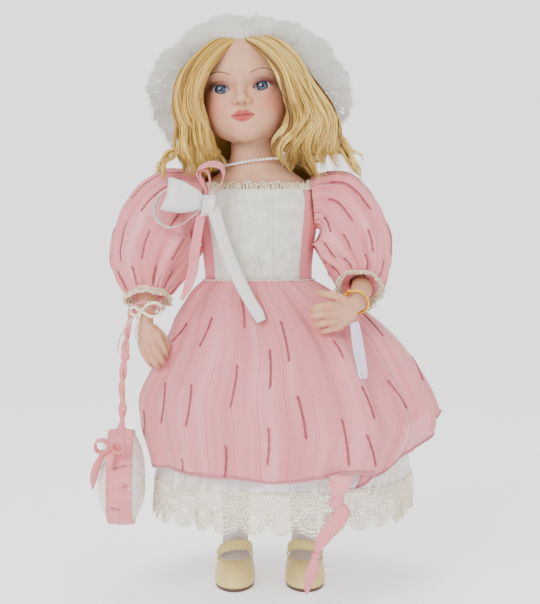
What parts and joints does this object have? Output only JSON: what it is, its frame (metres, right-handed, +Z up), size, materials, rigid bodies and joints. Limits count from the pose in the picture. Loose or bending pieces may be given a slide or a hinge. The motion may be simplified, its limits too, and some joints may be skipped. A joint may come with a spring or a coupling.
{
  "type": "porcelain doll",
  "caption": "Standing porcelain doll with stuffed cloth body, glass eyes, wavy wig, soft brimmed hat, puff-sleeved dress over a lace petticoat, strapped shoes and a small hanging bag.",
  "frame": {"origin": "on the floor under the middle of the whole outline, hat, skirt and bag included", "axes": "+Z up; the doll faces -Y, so its own right side is at -X and its left side at +X"},
  "size_m": [0.2685, 0.216, 0.4418],
  "materials": {
    "muslin": "matte",
    "bisque": "matte",
    "pate_card": "matte",
    "eye_glass": "gloss",
    "plaster": "matte",
    "pearl": "gloss",
    "wig_hair": "satin",
    "hat_cloth": "matte",
    "dress_pink": "satin",
    "net_lace": "matte",
    "trim_lace": "matte",
    "hook_tape": "matte",
    "tulle": "matte",
    "hem_lace": "matte",
    "ribbon_white": "satin",
    "ribbon_pink": "satin",
    "ribbon_cream": "satin",
    "ribbon_lavender": "satin",
    "armature_wire": "satin",
    "tie_tape": "matte",
    "sock_knit": "matte",
    "shoe_cream": "satin",
    "sole_brown": "matte",
    "drawers_cotton": "matte",
    "gilt": "polished",
    "bag_cream": "matte",
    "stuffing": "matte"
  },
  "bodies": {
    "torso": {"cloth_torso": "muslin", "shoulder_head": "bisque", "crown_pate": "pate_card", "eye_right": "eye_glass", "eye_left": "eye_glass", "eye_plaster": "plaster", "pearl_necklace": "pearl", "hair_cap": "wig_hair", "hair_lock_right": "wig_hair", "hair_lock_left": "wig_hair", "dress_bodice": "dress_pink", "bodice_lace_panel": "net_lace", "neckline_lace": "trim_lace", "back_closure": "hook_tape", "skirt": "dress_pink", "petticoat": "tulle", "petticoat_lace": "hem_lace", "petticoat_waistband": "muslin", "sash_tail": "dress_pink", "ribbon_bow_white": "ribbon_white", "ribbon_bow_pink": "ribbon_pink", "ribbon_tail_white": "ribbon_white"},
    "hat": {"hat_crown": "hat_cloth", "hat_brim": "hat_cloth"},
    "arm_right": {"upper_arm_right": "muslin", "arm_wire_right": "armature_wire", "forearm_right": "bisque", "arm_tie_right": "tie_tape", "sleeve_right": "dress_pink", "cuff_lace_right": "trim_lace", "wrist_ribbon_right": "ribbon_cream"},
    "arm_left": {"upper_arm_left": "muslin", "arm_wire_left": "armature_wire", "forearm_left": "bisque", "arm_tie_left": "tie_tape", "sleeve_left": "dress_pink", "cuff_lace_left": "trim_lace", "bangle_left": "gilt", "ribbon_loop_left": "ribbon_lavender"},
    "bag": {"bag_band": "dress_pink", "bag_filling": "stuffing", "bag_sides": "bag_cream", "bag_bow": "dress_pink", "bag_strap": "dress_pink"},
    "leg_right": {"thigh_right": "muslin", "shin_right": "bisque", "leg_tie_right": "tie_tape", "sock_right": "sock_knit", "shoe_upper_right": "shoe_cream", "shoe_sole_right": "sole_brown", "drawers_right": "drawers_cotton"},
    "strap_right": {"shoe_strap_right": "shoe_cream"},
    "leg_left": {"thigh_left": "muslin", "shin_left": "bisque", "leg_tie_left": "tie_tape", "sock_left": "sock_knit", "shoe_upper_left": "shoe_cream", "shoe_sole_left": "sole_brown", "drawers_left": "drawers_cotton"},
    "strap_left": {"shoe_strap_left": "shoe_cream"}
  },
  "joints": [
    {"name": "shoulder_right_swing", "type": "hinge", "parent": "torso", "child": "arm_right", "pos_m": [-0.066, 0.002, 0.3], "axis": [-1, 0, 0], "range_deg": [-4, 75], "deforming": ["ribbon_bow_white"]},
    {"name": "shoulder_left_swing", "type": "hinge", "parent": "torso", "child": "arm_left", "pos_m": [0.046, 0.002, 0.3], "axis": [-1, 0, 0], "range_deg": [0, 75]},
    {"name": "hip_right_swing", "type": "hinge", "parent": "torso", "child": "leg_right", "pos_m": [-0.0256, 0.001, 0.158], "axis": [-1, 0, 0], "range_deg": [-20, 20]},
    {"name": "hip_left_swing", "type": "hinge", "parent": "torso", "child": "leg_left", "pos_m": [0.0256, 0.001, 0.158], "axis": [-1, 0, 0], "range_deg": [-20, 20], "deforming": ["sash_tail"]},
    {"name": "bag_hang", "type": "hinge", "parent": "arm_right", "child": "bag", "pos_m": [-0.0948, -0.0308, 0.2169], "axis": [-1, 0, 0], "range_deg": [-75, 4], "deforming": ["bag_strap"]},
    {"name": "hat_lift", "type": "slide", "parent": "torso", "child": "hat", "axis": [0, 0.8829, 0.4695], "range_m": [0, 0.12]},
    {"name": "strap_right_open", "type": "hinge", "parent": "leg_right", "child": "strap_right", "pos_m": [-0.0125, -0.0065, 0.0235], "axis": [0, 0.9438, 0.3304], "range_deg": [0, 50]},
    {"name": "strap_left_open", "type": "hinge", "parent": "leg_left", "child": "strap_left", "pos_m": [0.0125, -0.0065, 0.0235], "axis": [0, -0.9438, -0.3304], "range_deg": [0, 50]}
  ],
  "couplings": [
    {"joint": "bag_hang", "follows": "shoulder_right_swing", "ratio": -1}
  ]
}
